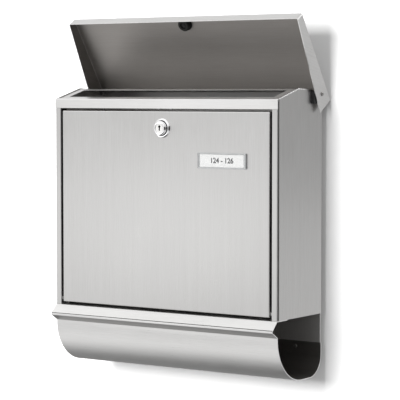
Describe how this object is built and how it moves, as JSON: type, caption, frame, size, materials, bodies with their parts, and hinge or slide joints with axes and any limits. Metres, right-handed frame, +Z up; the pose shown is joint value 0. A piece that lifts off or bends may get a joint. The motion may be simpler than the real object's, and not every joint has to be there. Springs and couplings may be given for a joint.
{
  "type": "wall mounted mailbox",
  "caption": "Wall mounted sheet-steel mailbox: rain lid over a top letter inlet, lockable drop-down front door with a name plate, and an open newspaper tube below.",
  "frame": {"origin": "middle of the four wall screws, on the wall plane at the rear faces of the wall spacers", "axes": "+X to the right as seen from the front, +Y into the wall, +Z up; the lid stands open, the door is shut and the lock is unlocked"},
  "size_m": [0.385, 0.137, 0.4902],
  "materials": {
    "stainless": "fine brushed grain, satin",
    "chrome": "polished",
    "fixings": "bright zinc plated",
    "black_plastic": "matte moulded",
    "black_rubber": "matte",
    "holder_plastic": "grey, half gloss",
    "card": "matte white",
    "clear_window": "clear"
  },
  "bodies": {
    "casing": {"casing_shell": "stainless", "inlet_panel": "stainless", "front_frame": "stainless", "floor_panel": "stainless", "newspaper_tube": "stainless", "letter_guard": "stainless", "hinge_blocks": "black_plastic", "lid_pins": "fixings", "pin_clips": "fixings", "door_pivots": "fixings", "lock_keeper": "fixings", "door_buffers": "black_rubber", "wall_spacers": "black_plastic", "casing_rivets": "fixings", "tube_rivets": "fixings", "guard_rivets": "fixings"},
    "lid": {"lid_panel": "stainless", "lid_buffer": "black_rubber", "buffer_rivet": "fixings"},
    "door": {"door_panel": "stainless", "lock_housing": "chrome", "lock_nut": "fixings", "plate_holder": "holder_plastic", "name_card": "card", "plate_window": "clear_window", "plate_clips": "fixings"},
    "lock": {"lock_plug": "chrome", "lock_cam": "fixings", "cam_nut": "fixings"}
  },
  "joints": [
    {"name": "lid_hinge", "type": "hinge", "parent": "casing", "child": "lid", "pos_m": [0, -0.023, 0.137], "axis": [-1, 0, 0], "range_deg": [-64, 30]},
    {"name": "door_hinge", "type": "hinge", "parent": "casing", "child": "door", "pos_m": [0, -0.119, -0.1525], "axis": [1, 0, 0], "range_deg": [0, 105]},
    {"name": "lock_turn", "type": "hinge", "parent": "door", "child": "lock", "pos_m": [0, -0.125, 0.0905], "axis": [0, -1, 0], "range_deg": [0, 90]}
  ]
}
